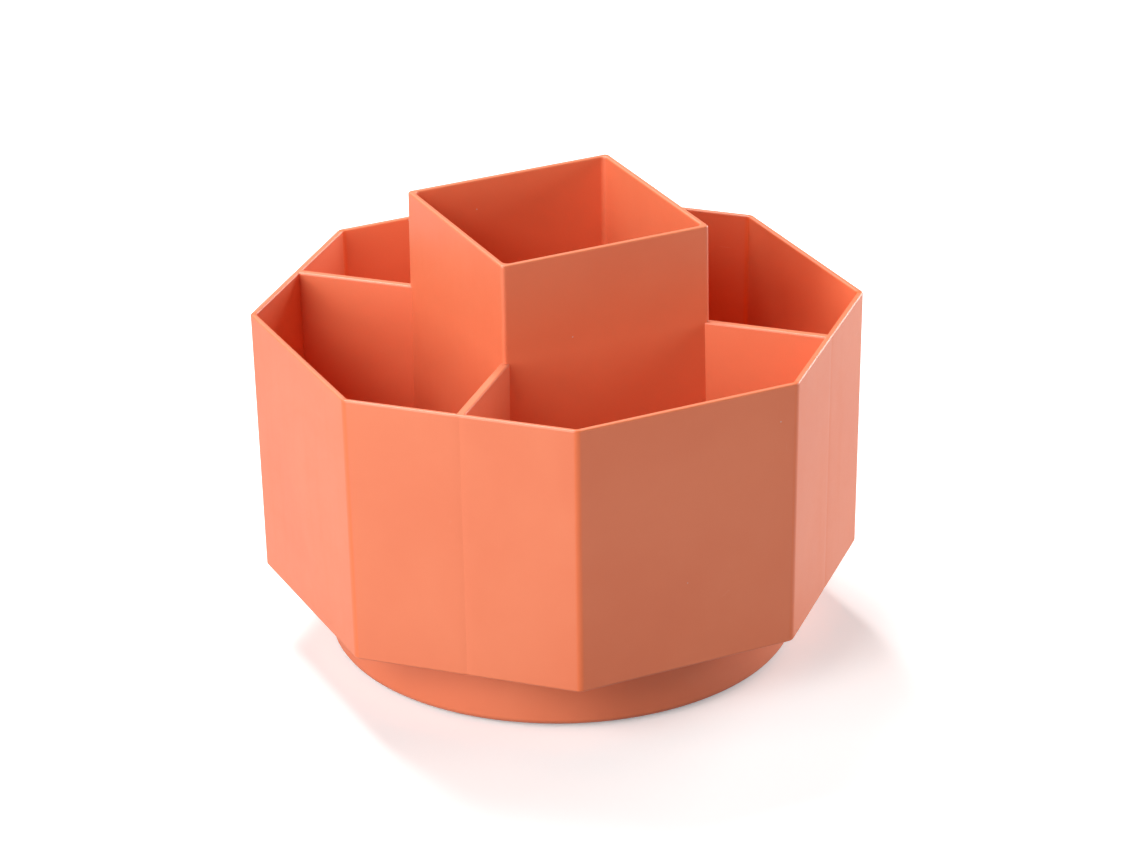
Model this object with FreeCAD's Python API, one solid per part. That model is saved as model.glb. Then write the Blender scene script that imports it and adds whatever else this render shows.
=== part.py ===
# Rotating desk organizer: an octagonal bin with a tall square cup in its middle and four
# corner dividers, moulded in one, which turns on a round base over a ring of steel balls.
#
# Millimetres, +Z up. The origin is the centre of the footprint, on the table, and the bin
# turns about Z. The bin's flats and the cup's walls face X and Y, and the dividers run
# along the diagonals.
import FreeCAD, Part
import math
import os

# Bin moulding
RIM_ACROSS_FLATS = 151.0       # outside, at the rim
BIN_HEIGHT = 74.2              # underside of the floor to the rim
CUP_WIDTH = 59.6               # outside, at the cup's rim
CUP_RISE = 27.0                # cup's rim above the bin's rim
WALL = 1.6                     # outer wall, at the rim
CUP_WALL = 1.6                 # at the cup's rim
DIVIDER = 1.5                  # at the rim
FLOOR = 2.4
WALL_DRAFT = 0.75              # degrees, outside of the outer wall
CAVITY_DRAFT = 0.9             # degrees, inside of the outer wall
CUP_DRAFT = 0.3                # degrees, both sides of the cup's wall
DIVIDER_DRAFT = 0.3            # degrees, each side
CORNER_ROUND = 2.5             # upright outside corners of the bin
CUP_CORNER_ROUND = 1.2         # upright outside corners of the cup
INSIDE_ROUND = 1.4             # upright inside corners and the floor's edge
RIM_ROUND = 0.5
UNDERSIDE_ROUND = 0.8

# Hub under the bin, and the ribs that stiffen it
HUB_DIAMETER = 16.0
HUB_WALL = 2.0
SCREW_POST_DIAMETER = 7.0      # takes the pivot screw, inside the hub
RIB = 1.2
HUB_RIB_HEIGHT = 3.0
HUB_RIB_COUNT = 8

# Base
BASE_DIAMETER = 127.0
SKIRT = 2.4                    # wall of the base
LEDGE = 1.0                    # step in the skirt that the cover seats on
DECK = 2.2                     # floor of the bearing chamber
BOSS_LENGTH = 5.1              # end of the centre boss to the top of the deck
BOSS_WALL = 3.0
BIN_GAP = 1.4                  # top of the skirt to the bin
SKIRT_BOTTOM_ROUND = 2.0
SKIRT_TOP_ROUND = 1.0
BASE_RIB_COUNT = 8
BASE_RIB = 1.5
BASE_RIB_HEIGHT = 4.0

# Ball bearing
BALL_DIAMETER = 5.0
BALL_SPACING = 12.0            # about, along the ball circle
BALL_PLAY = 0.05               # ball to groove
GROOVE_PLAY = 0.1              # groove's radius over the ball's
GROOVE_DEPTH = 1.2
RACE_THICKNESS = 2.0
RACE_WIDTH = 10.6
RACE_MARGIN = 9.8              # outer race edge to the skirt
RACE_RIB = 1.5                 # locating ribs each side of a race
RACE_RIB_HEIGHT = 1.4
RACE_FIT = 0.05                # race to locating rib
CAGE_THICKNESS = 1.6
CAGE_WIDTH = 8.8
POCKET_PLAY = 0.1              # ball to cage

# Pivot
BUSH_WALL = 2.0
BUSH_PLAY = 0.05               # hub to bush, on the radius
BUSH_FLANGE = 3.0
BUSH_FLANGE_THICKNESS = 1.2
WASHER_OVERLAP = 2.0           # washer past the bush, on the radius
WASHER_THICKNESS = 1.2
END_PLAY = 0.2                 # washer to boss, when the bin rests on the balls
PIVOT_SHANK = 3.9
PIVOT_SHANK_LENGTH = 9.0
PIVOT_HEAD = 8.0
PIVOT_HEAD_HEIGHT = 2.6
HEAD_CLEARANCE = 0.8           # pivot screw's head to the cover
THREAD_PLAY = 0.02             # screw to its pilot hole, on the radius
HOLE_PLAY = 0.25               # screw through a plain hole, on the radius

# Bottom cover, its screws and the feet
COVER_THICKNESS = 2.4
COVER_PLAY = 0.15              # cover to skirt, on the radius
COVER_SCREW_COUNT = 4
COVER_SCREW_SHANK = 2.6
COVER_SCREW_LENGTH = 6.5       # under the cover's outer face
COVER_SCREW_HEAD = 5.2
COVER_SCREW_POST = 8.0
PILOT_TIP = 0.8                # pilot hole past the screw's tip
FOOT_STANDOFF = 1.0
FOOT_SINK = 1.0                # foot's depth in its pocket
FOOT_DIAMETER = 12.0
FOOT_PLAY = 0.1
FOOT_MARGIN = 9.0              # foot's centre to the cover's edge
FOOT_ROUND = 0.5
CROSS_WIDTH = 0.9              # screwdriver recess
CROSS_DEPTH = 1.3

OVERRUN = 1.0                  # cutting tools past the faces they cut

# Heights, from the table up
Z_BASE = FOOT_STANDOFF
Z_COVER_TOP = Z_BASE + COVER_THICKNESS
Z_PIVOT_HEAD = Z_COVER_TOP + HEAD_CLEARANCE
Z_WASHER = Z_PIVOT_HEAD + PIVOT_HEAD_HEIGHT
Z_HUB_END = Z_WASHER + WASHER_THICKNESS
Z_BOSS_END = Z_HUB_END + END_PLAY
Z_DECK = Z_BOSS_END + BOSS_LENGTH
Z_LOWER_RACE = Z_DECK + RACE_THICKNESS
Z_BALLS = Z_LOWER_RACE - GROOVE_DEPTH + BALL_PLAY + BALL_DIAMETER / 2
Z_UPPER_RACE = Z_BALLS + BALL_DIAMETER / 2 + BALL_PLAY - GROOVE_DEPTH
Z_BIN = Z_UPPER_RACE + RACE_THICKNESS
Z_SKIRT_TOP = Z_BIN - BIN_GAP
Z_FLOOR = Z_BIN + FLOOR
Z_RIM = Z_BIN + BIN_HEIGHT
Z_CUP_RIM = Z_RIM + CUP_RISE

# Radii
CHAMBER_R = BASE_DIAMETER / 2 - SKIRT
RACE_OUTER_R = CHAMBER_R - RACE_MARGIN
RACE_INNER_R = RACE_OUTER_R - RACE_WIDTH
BALL_CIRCLE_R = (RACE_OUTER_R + RACE_INNER_R) / 2
BALL_COUNT = int(2 * math.pi * BALL_CIRCLE_R / BALL_SPACING)
HUB_R = HUB_DIAMETER / 2
BUSH_R = HUB_R + BUSH_PLAY + BUSH_WALL
COVER_R = CHAMBER_R - COVER_PLAY
FOOT_CIRCLE_R = COVER_R - FOOT_MARGIN

UP = FreeCAD.Vector(0, 0, 1)


def fall(height, draft):
    """How far a face with this draft moves sideways over a height."""
    return height * math.tan(math.radians(draft))


def polygon(sides, across_flats, z):
    """Corners of a regular polygon with flats that face X and Y."""
    radius = across_flats / 2 / math.cos(math.pi / sides)
    turns = [(k + 0.5) * 2 * math.pi / sides for k in range(sides)]
    return [FreeCAD.Vector(radius * math.cos(t), radius * math.sin(t), z) for t in turns]


def prismoid(lower, upper):
    """Solid between two flat outlines with the same number of corners and parallel sides."""
    outlines = [list(reversed(lower)), list(upper)]
    for k in range(len(lower)):
        n = (k + 1) % len(lower)
        outlines.append([lower[k], lower[n], upper[n], upper[k]])
    faces = [Part.Face(Part.makePolygon(o + [o[0]])) for o in outlines]
    return Part.Solid(Part.Shell(faces))


def disc(radius, z_low, z_high, x=0.0, y=0.0):
    """Upright cylinder between two heights."""
    return Part.makeCylinder(radius, z_high - z_low, FreeCAD.Vector(x, y, z_low), UP)


def ring(inner, outer, z_low, z_high):
    """Flat ring between two radii and two heights."""
    return disc(outer, z_low, z_high).cut(disc(inner, z_low - OVERRUN, z_high + OVERRUN))


def upright_edges(shape):
    """Straight edges that run mostly upwards."""
    found = []
    for edge in shape.Edges:
        way = edge.Vertexes[-1].Point - edge.Vertexes[0].Point
        if way.Length > 0 and abs(way.z) > 0.9 * way.Length:
            found.append(edge)
    return found


def level_edges(shape, z):
    """Edges that lie at one height."""
    near = 1e-4
    return [e for e in shape.Edges
            if abs(e.BoundBox.ZMin - z) < near and abs(e.BoundBox.ZMax - z) < near]


def placed_round(shape, count, start=0.0):
    """Copies of a shape, evenly turned about Z."""
    copies = []
    for k in range(count):
        copy = shape.copy()
        copy.rotate(FreeCAD.Vector(0, 0, 0), UP, start + 360.0 * k / count)
        copies.append(copy)
    return copies


def radial_rib(inner, outer, thickness, z_low, z_high):
    """Upright plate along +X between two radii."""
    corner = FreeCAD.Vector(inner, -thickness / 2, z_low)
    return Part.makeBox(outer - inner, thickness, z_high - z_low, corner)


def bin_block():
    """Outside of the bin, solid."""
    lower = RIM_ACROSS_FLATS - 2 * fall(BIN_HEIGHT, WALL_DRAFT)
    block = prismoid(polygon(8, lower, Z_BIN), polygon(8, RIM_ACROSS_FLATS, Z_RIM))
    block = block.makeFillet(CORNER_ROUND, upright_edges(block))
    block = block.makeFillet(UNDERSIDE_ROUND, level_edges(block, Z_BIN))
    return block.makeFillet(RIM_ROUND, level_edges(block, Z_RIM))


def cup_block(round_corners):
    """Outside of the cup, solid, from the bin's floor to the cup's rim."""
    lower = CUP_WIDTH + 2 * fall(Z_CUP_RIM - Z_BIN, CUP_DRAFT)
    block = prismoid(polygon(4, lower, Z_BIN), polygon(4, CUP_WIDTH, Z_CUP_RIM))
    if round_corners:
        block = block.makeFillet(CUP_CORNER_ROUND, upright_edges(block))
        block = block.makeFillet(RIM_ROUND, level_edges(block, Z_CUP_RIM))
    return block


def cup_cavity():
    """Inside of the cup, a little past its rim."""
    depth = Z_CUP_RIM - Z_FLOOR
    width = CUP_WIDTH - 2 * CUP_WALL
    lower = polygon(4, width - 2 * fall(depth, CUP_DRAFT), Z_FLOOR)
    upper = polygon(4, width + 2 * fall(OVERRUN, CUP_DRAFT), Z_CUP_RIM + OVERRUN)
    cavity = prismoid(lower, upper)
    edges = upright_edges(cavity) + level_edges(cavity, Z_FLOOR)
    return cavity.makeFillet(INSIDE_ROUND, edges)


def divider_block():
    """One divider along +X, from the middle of the bin past its wall, a little past the rim."""
    depth = Z_RIM - Z_FLOOR
    reach = RIM_ACROSS_FLATS / 2 + OVERRUN

    def outline(z, thickness):
        half = thickness / 2
        corners = [(0, -half), (reach, -half), (reach, half), (0, half)]
        return [FreeCAD.Vector(x, y, z) for x, y in corners]

    lower = outline(Z_BIN, DIVIDER + 2 * fall(depth + FLOOR, DIVIDER_DRAFT))
    upper = outline(Z_RIM + OVERRUN, DIVIDER - 2 * fall(OVERRUN, DIVIDER_DRAFT))
    return prismoid(lower, upper)


def side_cavities():
    """The four compartments round the cup, a little past the bin's rim."""
    depth = Z_RIM - Z_FLOOR
    width = RIM_ACROSS_FLATS - 2 * WALL
    lower = polygon(8, width - 2 * fall(depth, CAVITY_DRAFT), Z_FLOOR)
    upper = polygon(8, width + 2 * fall(OVERRUN, CAVITY_DRAFT), Z_RIM + OVERRUN)
    whole = prismoid(lower, upper).cut(cup_block(round_corners=False))
    for divider in placed_round(divider_block(), 4, 45.0):
        whole = whole.cut(divider)
    cavities = []
    for cavity in whole.Solids:
        edges = [e for e in upright_edges(cavity) if touches_outer_wall(e)]
        edges += level_edges(cavity, Z_FLOOR)
        cavities.append(cavity.makeFillet(INSIDE_ROUND, edges))
    return cavities


def touches_outer_wall(edge):
    """True for an upright edge that is nearer to the outer wall than to the cup."""
    middle = edge.CenterOfMass
    cup_corner = CUP_WIDTH / math.sqrt(2)
    wall = RIM_ACROSS_FLATS / 2
    return math.hypot(middle.x, middle.y) > (cup_corner + wall) / 2


def rim_edges(shape):
    """Inside edges of the rims: those of the compartments, the dividers and the cup."""
    outer = RIM_ACROSS_FLATS / 2 - WALL / 2
    edges = [e for e in level_edges(shape, Z_CUP_RIM)]
    for edge in level_edges(shape, Z_RIM):
        middle = edge.valueAt((edge.FirstParameter + edge.LastParameter) / 2)
        across = max(abs(middle.x), abs(middle.y), abs(middle.x + middle.y) / math.sqrt(2),
                     abs(middle.x - middle.y) / math.sqrt(2))
        beside_cup = max(abs(middle.x), abs(middle.y)) < CUP_WIDTH / 2 + CUP_CORNER_ROUND
        if across < outer and not beside_cup:
            edges.append(edge)
    return edges


def hub():
    """Hub under the bin: a tube, the post for the pivot screw in it, and four webs between."""
    tube = ring(HUB_R - HUB_WALL, HUB_R, Z_HUB_END, Z_BIN)
    post = disc(SCREW_POST_DIAMETER / 2, Z_HUB_END, Z_BIN)
    web = radial_rib(0, HUB_R - HUB_WALL / 2, RIB, Z_HUB_END, Z_BIN)
    pilot = disc(PIVOT_SHANK / 2 + THREAD_PLAY, Z_HUB_END - OVERRUN,
                 Z_WASHER + PIVOT_SHANK_LENGTH + PILOT_TIP)
    return tube.fuse([post] + placed_round(web, 4)).cut(pilot)


def race_ribs(z_low, z_high):
    """Two concentric ribs that locate a race."""
    inner = RACE_INNER_R - RACE_FIT
    outer = RACE_OUTER_R + RACE_FIT
    return [ring(inner - RACE_RIB, inner, z_low, z_high),
            ring(outer, outer + RACE_RIB, z_low, z_high)]


def organizer_bin():
    body = bin_block().fuse(cup_block(round_corners=True))
    body = body.cut(side_cavities() + [cup_cavity()]).removeSplitter()
    body = body.makeFillet(RIM_ROUND, rim_edges(body))
    rib = radial_rib(HUB_R - HUB_WALL / 2, RACE_INNER_R - RACE_RIB / 2, RIB,
                     Z_BIN - HUB_RIB_HEIGHT, Z_BIN + FLOOR / 2)
    under = race_ribs(Z_BIN - RACE_RIB_HEIGHT, Z_BIN) + placed_round(rib, HUB_RIB_COUNT)
    return body.fuse(under + [hub()]).removeSplitter()


def race(z_low, groove_z):
    """Flat ring with a round groove for the balls."""
    plate = ring(RACE_INNER_R, RACE_OUTER_R, z_low, z_low + RACE_THICKNESS)
    groove = Part.makeTorus(BALL_CIRCLE_R, BALL_DIAMETER / 2 + GROOVE_PLAY,
                            FreeCAD.Vector(0, 0, groove_z), UP)
    return plate.cut(groove)


def lower_race():
    section = BALL_DIAMETER / 2 + GROOVE_PLAY
    return race(Z_DECK, Z_LOWER_RACE - GROOVE_DEPTH + section)


def upper_race():
    section = BALL_DIAMETER / 2 + GROOVE_PLAY
    return race(Z_UPPER_RACE, Z_UPPER_RACE + GROOVE_DEPTH - section)


def bearing_balls():
    ball = Part.makeSphere(BALL_DIAMETER / 2, FreeCAD.Vector(BALL_CIRCLE_R, 0, Z_BALLS))
    return Part.makeCompound(placed_round(ball, BALL_COUNT))


def ball_cage():
    low = Z_BALLS - CAGE_THICKNESS / 2
    high = Z_BALLS + CAGE_THICKNESS / 2
    cage = ring(BALL_CIRCLE_R - CAGE_WIDTH / 2, BALL_CIRCLE_R + CAGE_WIDTH / 2, low, high)
    pocket = disc(BALL_DIAMETER / 2 + POCKET_PLAY, low - OVERRUN, high + OVERRUN, BALL_CIRCLE_R)
    return cage.cut(placed_round(pocket, BALL_COUNT))


def base_shell():
    radius = BASE_DIAMETER / 2
    skirt = disc(radius, Z_BASE, Z_SKIRT_TOP)
    skirt = skirt.makeFillet(min(SKIRT_BOTTOM_ROUND, 0.9 * SKIRT), level_edges(skirt, Z_BASE))
    skirt = skirt.makeFillet(min(SKIRT_TOP_ROUND, 0.9 * SKIRT), level_edges(skirt, Z_SKIRT_TOP))
    hollows = [disc(CHAMBER_R, Z_BASE - OVERRUN, Z_COVER_TOP),
               disc(CHAMBER_R - LEDGE, Z_COVER_TOP - OVERRUN, Z_DECK - DECK),
               disc(CHAMBER_R, Z_DECK, Z_SKIRT_TOP + OVERRUN)]
    shell = skirt.cut(hollows)
    rib = radial_rib(BUSH_R, CHAMBER_R - LEDGE / 2, BASE_RIB,
                     Z_DECK - DECK - BASE_RIB_HEIGHT, Z_DECK - DECK / 2)
    half_turn = 180.0 / BASE_RIB_COUNT
    boss = disc(BUSH_R + BOSS_WALL, Z_BOSS_END, Z_DECK)
    posts = placed_round(screw_post(), COVER_SCREW_COUNT)
    solids = placed_round(rib, BASE_RIB_COUNT, half_turn) + [boss] + posts
    shell = shell.fuse(solids + race_ribs(Z_DECK, Z_DECK + RACE_RIB_HEIGHT))
    pilots = placed_round(screw_pilot(), COVER_SCREW_COUNT)
    washer_room = disc(BUSH_R + BOSS_WALL, Z_COVER_TOP, Z_BOSS_END)
    bore = disc(BUSH_R, Z_COVER_TOP, Z_DECK + OVERRUN)
    return shell.cut([washer_room, bore] + pilots).removeSplitter()


def screw_post():
    return disc(COVER_SCREW_POST / 2, Z_COVER_TOP, Z_DECK - DECK / 2, BALL_CIRCLE_R)


def screw_pilot():
    return disc(COVER_SCREW_SHANK / 2 + THREAD_PLAY, Z_COVER_TOP - OVERRUN,
                Z_BASE + COVER_SCREW_LENGTH + PILOT_TIP, BALL_CIRCLE_R)


def pivot_bush():
    tube = ring(HUB_R + BUSH_PLAY, BUSH_R, Z_BOSS_END, Z_DECK + BUSH_FLANGE_THICKNESS)
    flange = ring(HUB_R + BUSH_PLAY, BUSH_R + BUSH_FLANGE, Z_DECK, Z_DECK + BUSH_FLANGE_THICKNESS)
    return tube.fuse(flange).removeSplitter()


def pivot_washer():
    return ring(PIVOT_SHANK / 2 + HOLE_PLAY, BUSH_R + WASHER_OVERLAP, Z_WASHER, Z_HUB_END)


def cross_recess(z_low, z_high, x=0.0):
    """Cutter for a cross-shaped screwdriver recess."""
    span = 4.4 * CROSS_WIDTH
    height = z_high - z_low
    bars = [(span, CROSS_WIDTH), (CROSS_WIDTH, span)]
    cutters = [Part.makeBox(a, b, height, FreeCAD.Vector(x - a / 2, -b / 2, z_low))
               for a, b in bars]
    return cutters[0].fuse(cutters[1])


def pivot_screw():
    head = disc(PIVOT_HEAD / 2, Z_PIVOT_HEAD, Z_WASHER)
    head = head.makeFillet(0.4 * PIVOT_HEAD_HEIGHT, level_edges(head, Z_PIVOT_HEAD))
    shank = disc(PIVOT_SHANK / 2, Z_WASHER, Z_WASHER + PIVOT_SHANK_LENGTH)
    recess = cross_recess(Z_PIVOT_HEAD - OVERRUN, Z_PIVOT_HEAD + CROSS_DEPTH)
    return head.fuse(shank).cut(recess).removeSplitter()


def countersink(play):
    """Cone and hole of a countersunk screw in the cover, opening downwards."""
    top = COVER_SCREW_SHANK / 2 + play
    wide = COVER_SCREW_HEAD / 2 + play
    place = FreeCAD.Vector(BALL_CIRCLE_R, 0, Z_BASE)
    return Part.makeCone(wide, top, wide - top, place, UP)


def cover_screw():
    """Countersunk screw on +X, its head level with the cover's outer face."""
    shank = disc(COVER_SCREW_SHANK / 2, Z_BASE, Z_BASE + COVER_SCREW_LENGTH, BALL_CIRCLE_R)
    recess = cross_recess(Z_BASE - OVERRUN, Z_BASE + CROSS_DEPTH, BALL_CIRCLE_R)
    return shank.fuse(countersink(0.0)).cut(recess).removeSplitter()


def cover_screws():
    return Part.makeCompound(placed_round(cover_screw(), COVER_SCREW_COUNT))


def base_cover():
    plate = disc(COVER_R, Z_BASE, Z_COVER_TOP)
    hole = disc(COVER_SCREW_SHANK / 2 + HOLE_PLAY, Z_BASE, Z_COVER_TOP + OVERRUN, BALL_CIRCLE_R)
    sink = countersink(HOLE_PLAY).fuse(hole)
    mouth = disc(COVER_SCREW_HEAD / 2 + HOLE_PLAY, Z_BASE - OVERRUN, Z_BASE, BALL_CIRCLE_R)
    pocket = disc(FOOT_DIAMETER / 2 + FOOT_PLAY, Z_BASE - OVERRUN, Z_BASE + FOOT_SINK,
                  FOOT_CIRCLE_R)
    cuts = placed_round(sink.fuse(mouth), COVER_SCREW_COUNT) + placed_round(pocket, 4, 45.0)
    return plate.cut(cuts)


def feet():
    """The four feet, one in each pocket, by name."""
    foot = disc(FOOT_DIAMETER / 2, 0.0, Z_BASE + FOOT_SINK, FOOT_CIRCLE_R)
    foot = foot.makeFillet(FOOT_ROUND, level_edges(foot, 0.0))
    names = ["foot_back_right", "foot_back_left", "foot_front_left", "foot_front_right"]
    return dict(zip(names, placed_round(foot, 4, 45.0)))


def main():
    os.makedirs("parts", exist_ok=True)
    makers = [organizer_bin, upper_race, pivot_screw, pivot_washer, ball_cage, bearing_balls,
              base_shell, lower_race, pivot_bush, base_cover, cover_screws]
    nodes = {maker.__name__: maker() for maker in makers}
    nodes.update(feet())
    for name, shape in nodes.items():
        shape.exportStep(os.path.join("parts", name + ".step"))
        print(name, len(shape.Solids), "solids", round(shape.Volume), "mm3", shape.isValid())


main()
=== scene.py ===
"""Rotating desk organizer: its looks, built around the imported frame.

Metres, +Z up. The bin turns about Z, and the flats of the octagon and the walls of the cup
face X and Y.
"""
import math

import bpy
from mathutils import Matrix, Vector


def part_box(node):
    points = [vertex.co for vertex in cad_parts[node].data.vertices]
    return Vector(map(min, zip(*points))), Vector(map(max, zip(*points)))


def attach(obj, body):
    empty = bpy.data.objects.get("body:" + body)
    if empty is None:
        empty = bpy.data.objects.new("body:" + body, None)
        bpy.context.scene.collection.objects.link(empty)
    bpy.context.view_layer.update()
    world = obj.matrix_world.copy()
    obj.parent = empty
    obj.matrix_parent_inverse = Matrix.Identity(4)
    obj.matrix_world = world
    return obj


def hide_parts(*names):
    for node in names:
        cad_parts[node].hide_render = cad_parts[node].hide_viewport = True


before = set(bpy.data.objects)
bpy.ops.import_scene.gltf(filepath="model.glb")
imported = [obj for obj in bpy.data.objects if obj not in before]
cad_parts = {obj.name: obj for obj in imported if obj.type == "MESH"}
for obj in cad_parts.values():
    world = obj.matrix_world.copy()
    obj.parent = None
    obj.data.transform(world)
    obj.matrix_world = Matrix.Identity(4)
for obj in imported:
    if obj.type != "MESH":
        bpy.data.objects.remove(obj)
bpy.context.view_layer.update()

MM = 0.001
DEGREE = math.pi / 180
TURN = 2 * math.pi

GEOMETRY_TREE = "GeometryNodeTree"
SHADER_TREE = "ShaderNodeTree"
GEOMETRY = "NodeSocketGeometry"
MATERIAL = "NodeSocketMaterial"
FLOAT = "NodeSocketFloat"
SOCKET_OF = {int: "NodeSocketInt", float: FLOAT, tuple: "NodeSocketVector"}


# Node trees

class Value:
    """A number in a node tree, with arithmetic that adds the nodes for it."""

    def __init__(self, nodes, socket):
        self.nodes = nodes
        self.socket = socket

    def does(self, operation, *others):
        return self.nodes.math(operation, self, *others)

    def __add__(self, other):
        return self.does("ADD", other)

    def __sub__(self, other):
        return self.does("SUBTRACT", other)

    def __rsub__(self, other):
        return self.nodes.math("SUBTRACT", other, self)

    def __mul__(self, other):
        return self.does("MULTIPLY", other)

    def __truediv__(self, other):
        return self.does("DIVIDE", other)

    def __rtruediv__(self, other):
        return self.nodes.math("DIVIDE", other, self)

    def __neg__(self):
        return self * -1.0

    __radd__ = __add__
    __rmul__ = __mul__

    def least(self, other):
        return self.does("MINIMUM", other)

    def most(self, other):
        return self.does("MAXIMUM", other)

    def modulo(self, other):
        return self.does("FLOORED_MODULO", other)

    def above(self, other):
        return self.does("GREATER_THAN", other)


class Nodes:
    """Adds nodes to a tree. What comes from the tree is linked, and anything else is set."""

    def __init__(self, tree):
        self.tree = tree

    def feed(self, socket, value):
        if isinstance(value, Value):
            value = value.socket
        if isinstance(value, bpy.types.NodeSocket):
            self.tree.links.new(value, socket)
        else:
            socket.default_value = value

    def add(self, kind, inputs=None, **settings):
        node = self.tree.nodes.new(kind)
        for name, value in settings.items():
            setattr(node, name, value)
        for key, value in (inputs or {}).items():
            self.feed(node.inputs[key], value)
        return node

    def placed(self, kind, tree, inputs):
        """A group node, with its inputs by name."""
        node = self.tree.nodes.new(kind)
        node.node_tree = tree
        for label, value in inputs.items():
            self.feed(node.inputs[label], value)
        return {output.name: output for output in node.outputs}

    def math(self, operation, *values):
        node = self.add("ShaderNodeMath", dict(enumerate(values)), operation=operation)
        return Value(self, node.outputs[0])

    def vector(self, x, y, z):
        return self.add("ShaderNodeCombineXYZ", {0: x, 1: y, 2: z}).outputs[0]

    def parts(self, vector):
        node = self.add("ShaderNodeSeparateXYZ", {0: vector})
        return [Value(self, output) for output in node.outputs]

    def spread(self, value, low, high):
        """Moves a range smoothly onto 0 to 1, and holds it there past its ends."""
        node = self.add("ShaderNodeMapRange", {
            "Value": value, "From Min": low, "From Max": high}, interpolation_type="SMOOTHSTEP")
        return Value(self, node.outputs[0])


def new_tree(name, kind, maker, inputs, outputs):
    """A node tree with named inputs and outputs, its maker, and its inputs to read."""
    tree = bpy.data.node_groups.new(name, kind)
    for label, value in inputs.items():
        is_kind = isinstance(value, str)
        socket_type = value if is_kind else SOCKET_OF[type(value)]
        socket = tree.interface.new_socket(label, in_out="INPUT", socket_type=socket_type)
        if not is_kind:
            socket.default_value = value
    for label, socket_type in outputs.items():
        tree.interface.new_socket(label, in_out="OUTPUT", socket_type=socket_type)
    nodes = maker(tree)
    given = {}
    for output in tree.nodes.new("NodeGroupInput").outputs:
        is_number = output.type in ("VALUE", "INT")
        given[output.name] = Value(nodes, output) if is_number else output
    return tree, nodes, given


def fall(height, draft):
    """How far a face with this draft, in degrees, moves sideways over a height."""
    return height * (draft * DEGREE).does("TANGENT")


# Solids made by geometry nodes

ROUND_STEPS = 5
TURNED_FACETS = 144
PUCK_FACETS = 64
ROD_FACETS = 48
SMALL_FACETS = 40
PILOT_FACETS = 24
PATH_RADIUS = 10 * MM       # of the circle that sections are swept along
TINY_ROUND = 0.08 * MM
FINE_ROUND = 0.2 * MM
MERGE_DISTANCE = 0.001 * MM
SHARP_ANGLE = 32 * DEGREE
OVERRUN = 1.0 * MM          # cutting solids past the faces that they cut
CROWDING = 2.2              # a power: how strongly a flat's points gather at its middle
THREAD_ROOT = 0.25          # where a thread's flank starts and ends, as shares of half a pitch
THREAD_CREST = 0.9
TIP_SLOPE = 0.4


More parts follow.
